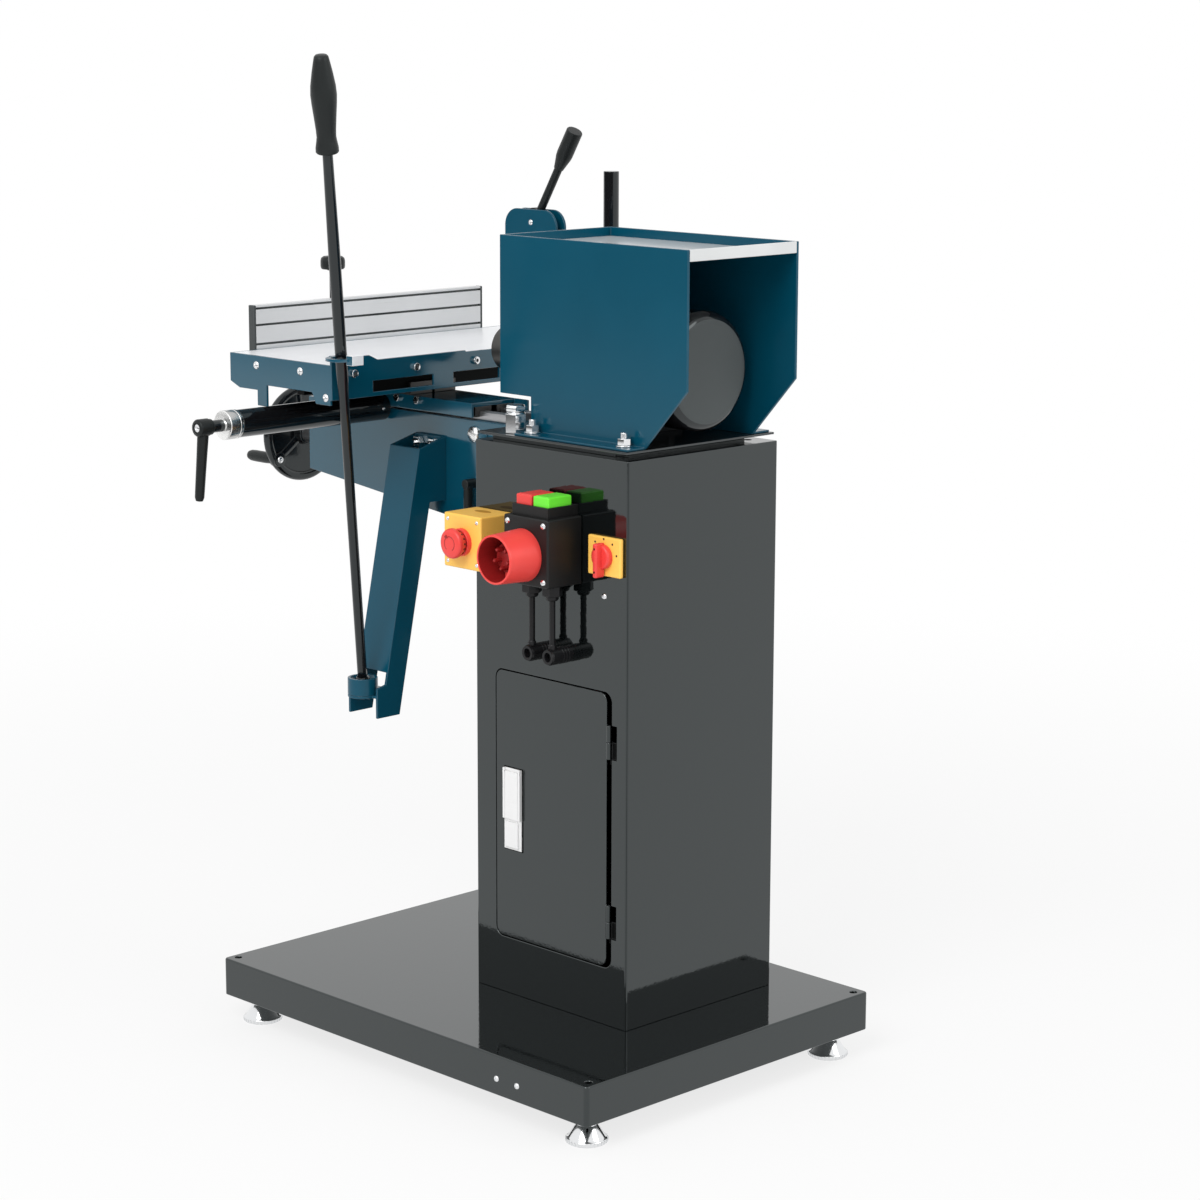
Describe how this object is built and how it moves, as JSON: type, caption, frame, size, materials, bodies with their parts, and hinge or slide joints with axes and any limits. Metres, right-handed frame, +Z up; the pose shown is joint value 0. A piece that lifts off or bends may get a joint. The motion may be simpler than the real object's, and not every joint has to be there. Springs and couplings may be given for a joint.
{
  "type": "slot mortiser",
  "caption": "Floor-standing slot mortiser: motor and chuck on a sheet-steel column, cross-slide table moved by one lever, handwheel height, fence, cam clamp and switchgear.",
  "frame": {"origin": "on the floor, under the middle of the whole machine's bounding box at rest", "axes": "+Z up, -Y towards the operator at the handwheel, +Y towards the motor's rear, +X towards the door"},
  "size_m": [0.6291, 1.0003, 1.3444],
  "materials": {
    "grey_paint": "gloss powder coat",
    "blue_paint": "gloss powder coat",
    "white_sheet": "satin",
    "chrome": "polished",
    "steel": "machined",
    "dark_steel": "blackened",
    "aluminium": "satin anodised",
    "motor_iron": "gloss",
    "black_paint": "gloss",
    "black_plastic": "matt moulded",
    "red_plastic": "moulded",
    "yellow_plastic": "moulded",
    "green_plastic": "moulded",
    "black_rubber": "matt"
  },
  "bodies": {
    "frame": {"base_plate": "grey_paint", "levelling_feet": "chrome", "column_shell": "grey_paint", "motor_plate": "grey_paint", "motor_housing": "blue_paint", "tool_tray": "white_sheet", "frame_fasteners": "chrome", "motor_casing": "motor_iron", "spindle_bearings": "steel", "motor_fan_cowl": "motor_iron", "switch_box": "black_plastic", "inlet_socket": "red_plastic", "estop_box": "yellow_plastic", "rotary_plate": "yellow_plastic", "switch_cables": "black_rubber", "height_rails": "steel"},
    "spindle": {"spindle_shaft": "steel", "chuck_body": "dark_steel"},
    "jaw_upper": {"chuck_jaw_upper": "dark_steel"},
    "jaw_lower": {"chuck_jaw_lower": "dark_steel"},
    "door": {"door_panel": "grey_paint", "latch_plate": "chrome"},
    "latch": {"latch_handle": "chrome"},
    "start": {"start_button": "green_plastic"},
    "stop": {"stop_button": "red_plastic"},
    "estop": {"estop_button": "red_plastic"},
    "rotary": {"rotary_knob": "red_plastic"},
    "arm": {"saddle": "blue_paint", "support_arm": "blue_paint", "depth_rails": "steel", "lever_bracket": "blue_paint", "arm_bolts": "chrome", "ball_socket": "blue_paint"},
    "wheel": {"handwheel_shaft": "steel", "handwheel": "black_plastic"},
    "crank": {"crank_grip": "black_plastic"},
    "screw": {"lead_screw": "steel"},
    "height_lock": {"height_lock_lever": "black_plastic"},
    "carriage": {"cross_carriage": "blue_paint", "slide_blocks": "steel", "stop_tube": "black_paint"},
    "stop_bar": {"stop_rod": "steel"},
    "ratchet": {"ratchet_lever": "black_plastic"},
    "table": {"cross_rails": "steel", "table_top": "aluminium", "table_aprons": "blue_paint", "apron_screws": "chrome", "fence": "aluminium", "fence_end_caps": "black_plastic", "lever_guide": "blue_paint", "clamp_post": "black_paint"},
    "stop_block": {"fence_stop": "steel"},
    "stop_knob": {"fence_knob": "black_plastic"},
    "collar": {"clamp_collar": "black_paint"},
    "clamp": {"clamp_arm": "blue_paint"},
    "cam": {"clamp_lever": "black_plastic"},
    "pad": {"clamp_pad": "steel"},
    "cup": {"ball_cup": "black_plastic"},
    "lever": {"control_lever": "black_paint", "lever_grip": "black_plastic"}
  },
  "joints": [
    {"name": "spindle_spin", "type": "hinge", "parent": "frame", "child": "spindle", "pos_m": [-0.055, 0.1, 0.944], "axis": [0, 1, 0], "continuous": true},
    {"name": "jaw_upper_slide", "type": "slide", "parent": "spindle", "child": "jaw_upper", "axis": [0, 0, 1], "range_m": [-0.006, 0.003]},
    {"name": "jaw_lower_slide", "type": "slide", "parent": "spindle", "child": "jaw_lower", "axis": [0, 0, -1], "range_m": [-0.006, 0.003]},
    {"name": "door_hinge", "type": "hinge", "parent": "frame", "child": "door", "pos_m": [0.085, 0.35325, 0.33], "axis": [0, 0, 1], "range_deg": [0, 110]},
    {"name": "latch_hinge", "type": "hinge", "parent": "door", "child": "latch", "pos_m": [0.0888, 0.1735, 0.3998], "axis": [0, -1, 0], "range_deg": [0, 50]},
    {"name": "start_push", "type": "slide", "parent": "frame", "child": "start", "axis": [0, 0, 1], "range_m": [-0.002, 0], "stiffness_N_per_m": 3000},
    {"name": "stop_push", "type": "slide", "parent": "frame", "child": "stop", "axis": [0, 0, 1], "range_m": [-0.002, 0], "stiffness_N_per_m": 3000},
    {"name": "estop_push", "type": "slide", "parent": "frame", "child": "estop", "axis": [-1, 0, 0], "range_m": [0, 0.004]},
    {"name": "rotary_turn", "type": "hinge", "parent": "frame", "child": "rotary", "pos_m": [0.092, 0.3495, 0.7165], "axis": [1, 0, 0], "range_deg": [0, 90]},
    {"name": "height_slide", "type": "slide", "parent": "frame", "child": "arm", "axis": [0, 0, 1], "range_m": [-0.13, 0]},
    {"name": "wheel_turn", "type": "hinge", "parent": "arm", "child": "wheel", "pos_m": [-0.055, -0.433, 0.781], "axis": [0, 1, 0], "range_deg": [0, 9360]},
    {"name": "screw_turn", "type": "hinge", "parent": "arm", "child": "screw", "pos_m": [-0.055, 0.019, 0.7], "axis": [0, 0, 1], "range_deg": [-9360, 0]},
    {"name": "crank_spin", "type": "hinge", "parent": "wheel", "child": "crank", "pos_m": [-0.00788, -0.47, 0.74549], "axis": [0, 1, 0], "continuous": true},
    {"name": "height_lock", "type": "hinge", "parent": "arm", "child": "height_lock", "pos_m": [-0.02, -0.017, 0.757], "axis": [1, 0, 0], "range_deg": [-40, 40]},
    {"name": "depth_slide", "type": "slide", "parent": "arm", "child": "carriage", "axis": [0, 1, 0], "range_m": [-0.085, 0.03]},
    {"name": "stop_slide", "type": "slide", "parent": "carriage", "child": "stop_bar", "axis": [1, 0, 0], "range_m": [0, 0.06]},
    {"name": "ratchet_turn", "type": "hinge", "parent": "stop_bar", "child": "ratchet", "pos_m": [0.3, -0.202, 0.846], "axis": [1, 0, 0], "range_deg": [-60, 60]},
    {"name": "cross_slide", "type": "slide", "parent": "carriage", "child": "table", "axis": [1, 0, 0], "range_m": [-0.075, 0.075]},
    {"name": "stop_block_slide", "type": "slide", "parent": "table", "child": "stop_block", "axis": [1, 0, 0], "range_m": [-0.08, 0.08]},
    {"name": "stop_knob_turn", "type": "hinge", "parent": "stop_block", "child": "stop_knob", "pos_m": [-0.011, -0.30415, 1], "axis": [0, 0, 1], "continuous": true},
    {"name": "clamp_height", "type": "slide", "parent": "table", "child": "collar", "axis": [0, 0, 1], "range_m": [-0.045, 0.04]},
    {"name": "clamp_swing", "type": "hinge", "parent": "collar", "child": "clamp", "pos_m": [-0.29, -0.023, 1.059], "axis": [0, 0, 1], "range_deg": [-20, 75]},
    {"name": "cam_turn", "type": "hinge", "parent": "clamp", "child": "cam", "pos_m": [-0.29, -0.179, 1.093], "axis": [1, 0, 0], "range_deg": [0, 95]},
    {"name": "pad_press", "type": "slide", "parent": "clamp", "child": "pad", "axis": [0, 0, 1], "range_m": [-0.0065, 0]},
    {"name": "cup_tilt", "type": "hinge", "parent": "arm", "child": "cup", "pos_m": [0.11, -0.106, 0.483], "axis": [1, 0, 0], "range_deg": [-4, 10.5]},
    {"name": "lever_tilt", "type": "hinge", "parent": "cup", "child": "lever", "pos_m": [0.11, -0.106, 0.483], "axis": [0, 1, 0], "range_deg": [-9, 9]}
  ],
  "couplings": [
    {"joint": "jaw_lower_slide", "follows": "jaw_upper_slide", "ratio": 1},
    {"joint": "wheel_turn", "follows": "height_slide", "rad_per_m": -1256.6},
    {"joint": "screw_turn", "follows": "height_slide", "rad_per_m": 1256.6},
    {"joint": "pad_press", "follows": "cam_turn", "m_per_rad": -0.00392},
    {"joint": "cup_tilt", "follows": "depth_slide", "rad_per_m": -2.12},
    {"joint": "lever_tilt", "follows": "cross_slide", "rad_per_m": 2.06}
  ]
}
